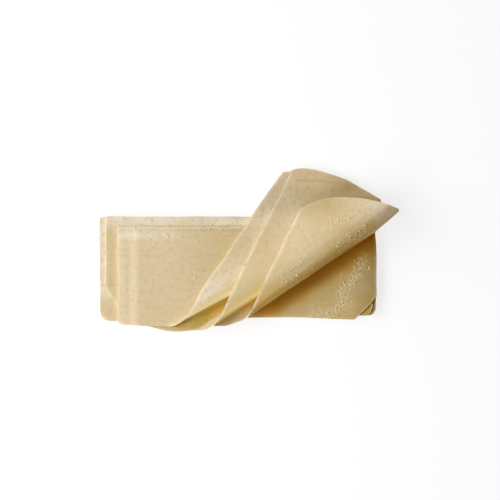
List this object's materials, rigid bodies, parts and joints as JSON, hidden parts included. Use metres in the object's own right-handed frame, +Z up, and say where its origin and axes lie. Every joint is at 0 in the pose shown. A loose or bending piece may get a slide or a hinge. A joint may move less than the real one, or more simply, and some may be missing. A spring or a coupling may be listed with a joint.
{
  "type": "stack of samosa wrappers",
  "caption": "Pile of raw samosa wrappers, long thin pastry strips, with the right ends of the upper ones turned back over loose rolls.",
  "frame": {"origin": "under the middle of the whole pile's box, on the surface it lies on", "axes": "+X along the strips towards the turned-back ends, +Y across them towards the overhanging free ends, +Z up"},
  "size_m": [0.2268, 0.1236, 0.032],
  "materials": {
    "pastry": "matte, lightly floured raw pastry"
  },
  "bodies": {
    "root": {"flat_wrapper_1": "pastry", "flat_wrapper_2": "pastry", "flat_wrapper_3": "pastry", "flat_wrapper_4": "pastry", "flat_wrapper_5": "pastry", "flat_wrapper_6": "pastry", "flat_wrapper_7": "pastry", "flat_wrapper_8": "pastry", "flat_wrapper_9": "pastry", "turned_wrapper_lower": "pastry", "turned_wrapper_middle": "pastry", "turned_wrapper_top": "pastry"}
  },
  "joints": []
}
